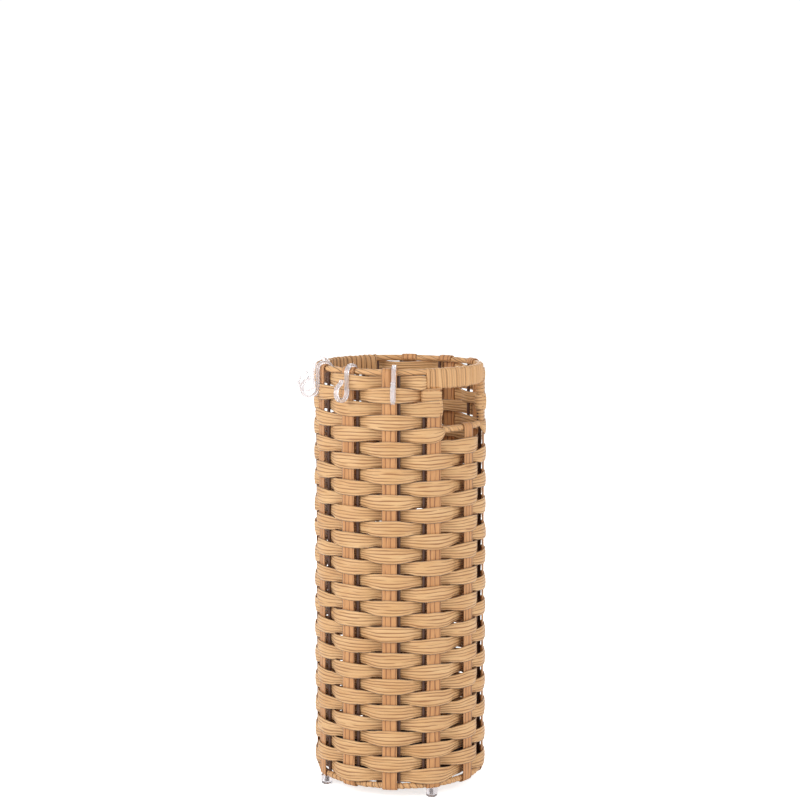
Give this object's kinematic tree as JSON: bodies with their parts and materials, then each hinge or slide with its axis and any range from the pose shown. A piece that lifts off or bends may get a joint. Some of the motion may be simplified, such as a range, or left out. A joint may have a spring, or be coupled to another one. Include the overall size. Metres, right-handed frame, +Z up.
{
  "type": "umbrella stand",
  "caption": "Tall round umbrella stand of flat strands woven over a wire frame, with hand openings, hooks on the rim, foot cups and a lift-out drip tray.",
  "frame": {"origin": "middle of the floor under the stand", "axes": "+Z up, +X through the middle of one hand opening"},
  "size_m": [0.2212, 0.2344, 0.5238],
  "materials": {
    "weavers": "satin ribbed strand",
    "stakes": "satin ribbed strand",
    "windings": "satin wound strand",
    "base_mat": "satin woven strand",
    "wire": "brown paint on steel wire",
    "clear_hooks": "clear, polished",
    "clear_cups": "clear, soft",
    "tray": "moulded, fine matt"
  },
  "bodies": {
    "basket": {"top_ring": "wire", "base_ring": "wire", "upright_wires": "wire", "handle_loop_right": "wire", "handle_loop_left": "wire", "base_rods": "wire", "base_mat": "base_mat", "foot_legs": "wire", "foot_cup_1": "clear_cups", "foot_cup_2": "clear_cups", "foot_cup_3": "clear_cups", "foot_cup_4": "clear_cups", "rim_wrap_back": "windings", "rim_wrap_front": "windings", "base_wrap_back": "windings", "base_wrap_front": "windings", "sill_wrap_right": "windings", "sill_wrap_left": "windings", "handle_band_right": "windings", "handle_band_left": "windings", "post_wrap_1": "windings", "post_wrap_2": "windings", "post_wrap_3": "windings", "post_wrap_4": "windings", "stake_01": "stakes", "stake_02": "stakes", "stake_03": "stakes", "stake_04": "stakes", "stake_05": "stakes", "stake_06": "stakes", "stake_07": "stakes", "stake_08": "stakes", "stake_09": "stakes", "stake_10": "stakes", "stake_11": "stakes", "stake_12": "stakes", "panel_weavers_front": "weavers", "panel_weavers_back": "weavers", "weavers_01": "weavers", "weavers_02": "weavers", "weavers_03": "weavers", "weavers_04": "weavers", "weavers_05": "weavers", "weavers_06": "weavers", "weavers_07": "weavers", "weavers_08": "weavers", "weavers_09": "weavers", "weavers_10": "weavers", "weavers_11": "weavers", "weavers_12": "weavers", "weavers_13": "weavers"},
    "hook_1": {"hook_1": "clear_hooks"},
    "hook_2": {"hook_2": "clear_hooks"},
    "hook_3": {"hook_3": "clear_hooks"},
    "hook_4": {"hook_4": "clear_hooks"},
    "drip_tray": {"drip_tray": "tray"}
  },
  "joints": [
    {"name": "hook_1_swing", "type": "hinge", "parent": "basket", "child": "hook_1", "pos_m": [0.05343, -0.08227, 0.51495], "axis": [-0.8387, -0.5446, 0], "range_deg": [0, 30]},
    {"name": "hook_2_swing", "type": "hinge", "parent": "basket", "child": "hook_2", "pos_m": [0.00171, -0.09809, 0.51495], "axis": [-0.9998, -0.0175, 0], "range_deg": [0, 30]},
    {"name": "hook_3_swing", "type": "hinge", "parent": "basket", "child": "hook_3", "pos_m": [-0.05053, -0.08409, 0.51495], "axis": [-0.8572, 0.515, 0], "range_deg": [0, 30]},
    {"name": "hook_4_swing", "type": "hinge", "parent": "basket", "child": "hook_4", "pos_m": [-0.08741, -0.04454, 0.51495], "axis": [-0.454, 0.891, 0], "range_deg": [0, 30]},
    {"name": "tray_lift", "type": "slide", "parent": "basket", "child": "drip_tray", "axis": [0, 0, 1], "range_m": [0, 0.52]}
  ]
}
